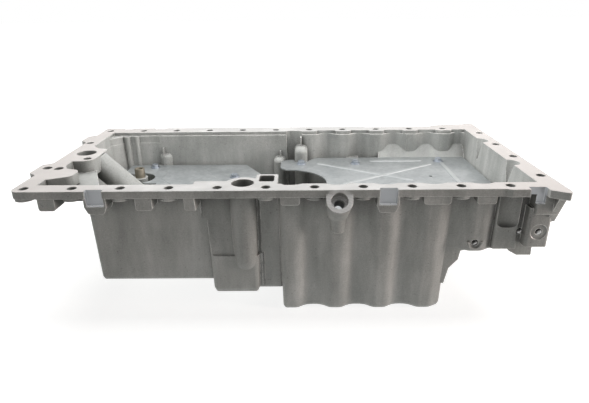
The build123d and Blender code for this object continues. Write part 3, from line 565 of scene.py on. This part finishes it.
# %% A helper that places a piece
hard_angle = math.radians(35.0)


def finish_piece(name, shape, turn, finish, replaced=(), look=None):
    """Moves a bmesh to its place and makes it a piece of the pan."""
    bmesh.ops.transform(shape, matrix=turn, verts=shape.verts)
    bmesh.ops.recalc_face_normals(shape, faces=shape.faces)
    for edge in shape.edges:
        edge.smooth = len(edge.link_faces) == 2 and edge.calc_face_angle(0.0) <= hard_angle
    for face in shape.faces:
        face.smooth = True
    mesh = bpy.data.meshes.new(name)
    shape.to_mesh(mesh)
    shape.free()
    mesh.materials.append(look or finishes[finish])
    piece = bpy.data.objects.new(name, mesh)
    bpy.context.scene.collection.objects.link(piece)
    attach(piece, "root")
    if replaced:
        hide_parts(*replaced)


print("edges sharper than", round(math.degrees(hard_angle)), "degrees stay hard")

# %% [markdown]
# ## Discs and hexagons
#
# The CAD screws are plain hexagons on a shank, which is right for collision. A real
# one is pressed from wire: a thin round flange carries the hexagon, whose top corners
# are turned off, and the top is slightly dished. A hexagon is a cone operator with six
# segments and two equal radii, so no list of corners is needed. Bevelling only its top
# edges gives the turned corners, and an inset with a little depth gives the dish. In a
# script the bevel starts from other values than in the editor, so its segments,
# profile and material are always given.

# %% Helpers for heads
close_enough = 0.01 * mm
dish_rim, dish_depth = 0.5 * mm, 0.35 * mm


def top_rim(shape, verts, height):
    """The edges of these vertices that lie flat at one height."""
    return [
        edge for edge in shape.edges
        if edge.verts[0] in verts and all(abs(v.co.z - height) < close_enough for v in edge.verts)]


def add_prism(shape, sides, radius, height, base, corner, steps):
    """An upright prism from `base` up, with its upper edge bevelled in a few steps."""
    prism = bmesh.ops.create_cone(
        shape, cap_ends=True, segments=sides, radius1=radius, radius2=radius, depth=height)
    bmesh.ops.translate(shape, verts=prism["verts"], vec=(0, 0, base + height / 2))
    bmesh.ops.bevel(
        shape, geom=top_rim(shape, prism["verts"], base + height), offset=corner,
        segments=steps, profile=0.5, affect="EDGES", material=-1)


def add_disc(shape, radius, thickness, base, corner, sides=40):
    """A round plate with a rounded upper edge."""
    add_prism(shape, sides, radius, thickness, base, corner, 3)


def add_hexagon(shape, flats, height, base, corner):
    """A hexagon with its top corners turned off and its top dished."""
    add_prism(shape, 6, flats / math.sqrt(3), height, base, corner, 2)
    top = [
        face for face in shape.faces
        if all(abs(v.co.z - base - height) < close_enough for v in face.verts)]
    bmesh.ops.inset_region(shape, faces=top, thickness=dish_rim, depth=-dish_depth)


print("helpers:", [helper.__name__ for helper in (add_disc, add_hexagon)])

# %% [markdown]
# ## The baffle screws
#
# Each head replaces one CAD screw. Its place is read from that node's own box, so it
# follows the CAD model if a screw moves. The heads are turned by different angles,
# because nobody tightens eight screws to the same angle.

# %% Screw heads
head_height, screw_shank = 4.5 * mm, 6.0 * mm
flange_size, flange_thick = 12.5 * mm, 1.3 * mm
screw_flats, hexagon_height = 8.0 * mm, 3.1 * mm
twist_per_metre = 40.0
screws = sorted(name for name in frame["nodes"] if name.startswith("baffle_screw"))
for name in screws:
    low_corner, high_corner = (Vector(corner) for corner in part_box(name))
    centre = (low_corner + high_corner) / 2
    seat = high_corner.z - head_height
    shank_length = seat - low_corner.z
    head = bmesh.new()
    add_disc(head, flange_size / 2, flange_thick, 0.0, 0.5 * mm)
    add_hexagon(head, screw_flats, hexagon_height, flange_thick, 0.45 * mm)
    add_disc(head, screw_shank / 2, shank_length, -shank_length, 0.1 * mm, sides=24)
    twist = Matrix.Rotation(centre.x * twist_per_metre, 4, "Z")
    turn = Matrix.Translation((centre.x, centre.y, seat)) @ twist
    finish_piece("head_of_" + name, head, turn, "zinc_steel", [name])
print(len(screws), "screw heads, flange", round(flange_size / mm, 1), "mm")

# %% [markdown]
# ## Threads in the tapped holes
#
# Three tapped holes face the front, and light falls into them, so a smooth bore would
# look wrong. A thread is one small triangle swept round and along the axis at the same
# time. The spin operator does both: `angle` turns it and `dvec` moves it a little each
# step. The triangle's base is sunk a little into the wall of the hole, so no gap shows.

# %% Cut threads
thread_pitch, thread_height, thread_sink = 1.25 * mm, 0.5 * mm, 0.05 * mm
bore_radius = 3.4 * mm
steps_per_turn = 20


def thread(name, mouth, depth):
    """A ridge that winds along a hole that opens to the front."""
    turns = int((depth - thread_pitch) / thread_pitch)
    root, crest, half = bore_radius + thread_sink, bore_radius - thread_height, 0.45 * thread_pitch
    ridge = bmesh.new()
    corners = [(root, 0, -half), (crest, 0, 0), (root, 0, half)]
    profile = ridge.faces.new([ridge.verts.new(corner) for corner in corners])
    bmesh.ops.spin(
        ridge, geom=[profile, *profile.verts, *profile.edges], cent=(0, 0, 0), axis=(0, 0, 1),
        dvec=(0, 0, thread_pitch / steps_per_turn), angle=2 * math.pi * turns,
        steps=steps_per_turn * turns, use_duplicate=False)
    start = Matrix.Translation(mouth + Vector((0, thread_pitch, 0)))
    finish_piece(
        name, ridge, start @ Matrix.Rotation(-math.pi / 2, 4, "X"), "cast_aluminium",
        look=cut_thread)
    return turns


tapped_holes = {
    "low_boss_thread": (from_middle_bolt(205.5, 4.5, 61.5), 13 * mm),
    "pad_thread": (from_middle_bolt(263.0, -3.2, 47.0), 16 * mm),
    "toe_thread": (from_middle_bolt(248.0, 6.0, 50.0), 15 * mm),
}
for name, (mouth, depth) in tapped_holes.items():
    print(name, "has", thread(name, mouth, depth), "turns")

# %% [markdown]
# ## The lip of the low boss
#
# The boss low on the front wall carries a raised lip round the lower half of its hole.
# It is a small rectangle with two corners turned off, spun a little more than half way
# round the hole, so that it stays open at the top like a horseshoe. Its foot is sunk
# into the wall, which curves a little there.

# %% Horseshoe lip
lip_inner, lip_outer, lip_height = 5.2 * mm, 7.9 * mm, 1.8 * mm
lip_corner, lip_sink = 0.6 * mm, 0.3 * mm
lip_sweep, lip_start = math.radians(200), math.radians(170)
lip_place = from_middle_bolt(205.5, 3.2, 61.5)

lip = bmesh.new()
outline = [
    (lip_inner, -lip_sink), (lip_outer, -lip_sink), (lip_outer, lip_height - lip_corner),
    (lip_outer - lip_corner, lip_height), (lip_inner + lip_corner, lip_height),
    (lip_inner, lip_height - lip_corner)]
profile = lip.faces.new([lip.verts.new((radius, 0, height)) for radius, height in outline])
bmesh.ops.spin(
    lip, geom=[profile, *profile.verts, *profile.edges], cent=(0, 0, 0), axis=(0, 0, 1),
    angle=lip_sweep, steps=30, use_duplicate=False)
to_front = Matrix.Rotation(math.pi / 2, 4, "X") @ Matrix.Rotation(lip_start, 4, "Z")
finish_piece("low_boss_lip", lip, Matrix.Translation(lip_place) @ to_front, "cast_aluminium")
print("lip", round(lip_height / mm, 1), "mm high")

# %% [markdown]
# ## The suction bush
#
# The bush is pressed from bronze powder, so its edges are rounded and its bore runs
# through. A ring like this is a profile spun once round. A full spin comes back to its
# start, so `use_merge` closes the seam.

# %% Sintered bush
bush_bore, bush_corner = 4.0 * mm, 0.7 * mm
low_corner, high_corner = (Vector(corner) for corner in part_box("suction_bush"))
bush_radius = (high_corner.x - low_corner.x) / 2
bush_height = high_corner.z - low_corner.z
chamfer = 0.3 * bush_corner

bush = bmesh.new()
outline = [
    (bush_radius, 0.0), (bush_radius, bush_height - bush_corner),
    (bush_radius - chamfer, bush_height - chamfer), (bush_radius - bush_corner, bush_height),
    (bush_bore + bush_corner, bush_height), (bush_bore + chamfer, bush_height - chamfer),
    (bush_bore, bush_height - bush_corner), (bush_bore, 0.0)]
verts = [bush.verts.new((radius, 0, height)) for radius, height in outline]
edges = [bush.edges.new(pair) for pair in zip(verts, verts[1:] + verts[:1])]
bmesh.ops.spin(
    bush, geom=verts + edges, cent=(0, 0, 0), axis=(0, 0, 1), angle=2 * math.pi, steps=48,
    use_merge=True)
centre = (low_corner + high_corner) / 2
finish_piece(
    "sintered_bush", bush, Matrix.Translation((centre.x, centre.y, low_corner.z)),
    "sintered_brass", ["suction_bush"])
print("bush", round(2 * bush_radius / mm, 1), "mm across,", round(bush_height / mm, 1), "mm tall")

# %% [markdown]
# ## The drain plug
#
# The plug faces the back. Its head is the same hexagon on a flange, larger, so the
# same two helpers make it, turned so that it points to the back.

# %% Drain plug
plug_flats, plug_head, plug_collar = 20.0 * mm, 7.0 * mm, 2.5 * mm
stem_radius, plug_clearance = 10.7 * mm, 0.01 * mm
low_corner, high_corner = (Vector(corner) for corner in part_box("drain_plug"))
centre = (low_corner + high_corner) / 2
collar_radius = (high_corner.x - low_corner.x) / 2 - plug_clearance
collar_y = high_corner.y - plug_head - plug_collar
stem = collar_y - low_corner.y

plug = bmesh.new()
add_disc(plug, collar_radius, plug_collar, 0.0, 0.8 * mm, sides=64)
add_hexagon(plug, plug_flats, plug_head, plug_collar, 1.0 * mm)
add_disc(plug, stem_radius, stem, -stem, 0.5 * mm, sides=48)
to_back = Matrix.Rotation(-math.pi / 2, 4, "X")
finish_piece(
    "plug_with_hexagon", plug, Matrix.Translation((centre.x, collar_y, centre.z)) @ to_back,
    "plug_steel", ["drain_plug"])
print("drain plug points to the back at height", round(centre.z / mm), "mm")

# %% [markdown]
# ## The floor
#
# The pan is shown as in a parts list: on white, in soft light. The floor is a pale
# matt plane that keeps the pan's shadow. Rays from the camera, and rays that come off
# metal or pass through glass, see it glow a little more, so it reads as white paper
# without more light on the pan, and metal shows that white too. Close to the pan it
# gives a weak light of its own, as a lit table does, which lifts the lower edge of the
# walls.

# %% Floor
floor_half_size = 12.0
table_half_length, table_half_width, table_light = 0.34, 0.175, 0.60


def seen_ray(shade):
    """1 for a ray that shows what it meets: from the camera, or off or through a glossy surface."""
    from_camera, off_gloss, through_glass = (
        shade.node("ShaderNodeLightPath", output=kind) for kind in (0, 3, 6))
    return from_camera.math("MAXIMUM", off_gloss).math("MAXIMUM", through_glass)


def paper():
    """Matt white paper, lit like a table round the pan."""
    sheet = Finish("floor_paper")
    across = sheet.x * (1 / table_half_length)
    along = (sheet.y + 0.02) * (1 / table_half_width)
    away = (across * across + along * along).math("SQRT")
    table = (1.0 - away.step(0.7, 1.2)) * table_light
    white = seen_ray(sheet) * (away.step(1.5, 4.0) * 0.25 + 0.80)
    glow = sheet.node("ShaderNodeEmission", inputs={
        "Color": (1, 1, 1, 1), "Strength": white.math("MAXIMUM", table)})
    matt = sheet.node("ShaderNodeBsdfDiffuse", inputs={"Color": (0.45, 0.45, 0.44, 1)})
    both = sheet.node("ShaderNodeAddShader", inputs={0: glow, 1: matt})
    surface = sheet.tree.nodes["Material Output"].inputs["Surface"]
    sheet.tree.links.new(both.socket, surface)
    return sheet.material


plane = bmesh.new()
bmesh.ops.create_grid(plane, x_segments=1, y_segments=1, size=floor_half_size)
floor_mesh = bpy.data.meshes.new("floor")
plane.to_mesh(floor_mesh)
plane.free()
floor_mesh.materials.append(paper())
floor = bpy.data.objects.new("floor", floor_mesh)
bpy.context.scene.collection.objects.link(floor)
print("floor is", round(floor.dimensions.x, 1), "m wide")

# %% [markdown]
# ## The lamps
#
# The roof is a low, broad softbox over the inside of the pan. It starts just inside
# the front rim, so the outside stays in shade, and it is hidden from glossy rays, so
# metal doesn't mirror it. A narrow warm lamp far to the right grazes the front and
# draws a bright line on each crest of the corrugation. Two weak warm lamps tint the
# ends.

# %% Lamps
def softbox(name, place, target, size, watts, colour=(1, 1, 1)):
    """A rectangular area lamp that faces a target."""
    lamp = bpy.data.lights.new(name, "AREA")
    lamp.shape = "RECTANGLE"
    lamp.size, lamp.size_y = size
    lamp.energy = watts
    lamp.color = colour
    holder = bpy.data.objects.new(name, lamp)
    holder.location = place
    to_target = Vector(target) - Vector(place)
    holder.rotation_euler = to_target.to_track_quat("-Z", "Y").to_euler()
    bpy.context.scene.collection.objects.link(holder)
    return holder


roof = softbox("roof", (0.10, 0.075, 0.50), (0.10, 0.075, 0.0), (1.05, 0.41), 7.4)
roof.visible_glossy = False
softbox("right_back", (0.85, 0.45, 0.95), (0.2, 0.0, 0.1), (0.8, 0.6), 1.5, (1.0, 0.83, 0.77))
softbox("right_front", (1.2, -0.35, 0.26), (0.1, -0.13, 0.07), (0.20, 0.5), 7.0, (1.0, 0.87, 0.82))
softbox("left_side", (-1.0, -0.45, 0.45), (-0.1, -0.1, 0.08), (0.5, 0.5), 1.2, (1.0, 0.93, 0.88))

# %% [markdown]
# ## The world
#
# A white world would light the pan from all sides and flatten it. So the world is
# white only for the rays that show it, and nearly black for the light that it gives.

# %% World
world_light = 0.03
world = bpy.data.worlds.new("studio")
bpy.context.scene.world = world
world.use_nodes = True
sky = Shade(world.node_tree)
white = seen_ray(sky) * (1 - world_light) + world_light
fill = sky.node("ShaderNodeBackground", inputs={"Color": (1, 1, 1, 1), "Strength": white})
surface = world.node_tree.nodes["World Output"].inputs["Surface"]
world.node_tree.links.new(fill.socket, surface)
print("the world gives", world_light, "of the light that it shows")

# %% [markdown]
# ## The camera
#
# The camera stands in front of the pan, a little to the right of its middle, and looks
# down into it. Its lens is worked out as the distance of the picture plane in pixels,
# for a picture that is 589 pixels wide. Blender wants that distance in millimetres of
# its sensor, so one line converts it.

# %% Camera
picture_width, focal_pixels = 589, 480.0
camera_place = Vector((0.01629, -0.54221, 0.29622))
look_down, look_left, lean = 0.382845, 0.010659, 0.010691

camera_data = bpy.data.cameras.new("camera")
camera_data.sensor_fit = "HORIZONTAL"
camera_data.sensor_width = 36.0
camera_data.lens = camera_data.sensor_width * focal_pixels / picture_width
camera_data.clip_start = 0.02
camera = bpy.data.objects.new("camera", camera_data)
camera.matrix_world = (
    Matrix.Translation(camera_place) @ Matrix.Rotation(look_left, 4, "Z")
    @ Matrix.Rotation(math.pi / 2 - look_down, 4, "X") @ Matrix.Rotation(-lean, 4, "Z"))
bpy.context.scene.collection.objects.link(camera)
bpy.context.scene.camera = camera
bpy.context.scene.view_settings.view_transform = "Standard"
print("lens", round(camera_data.lens, 2), "mm")

# %% [markdown]
# ## Finish
#
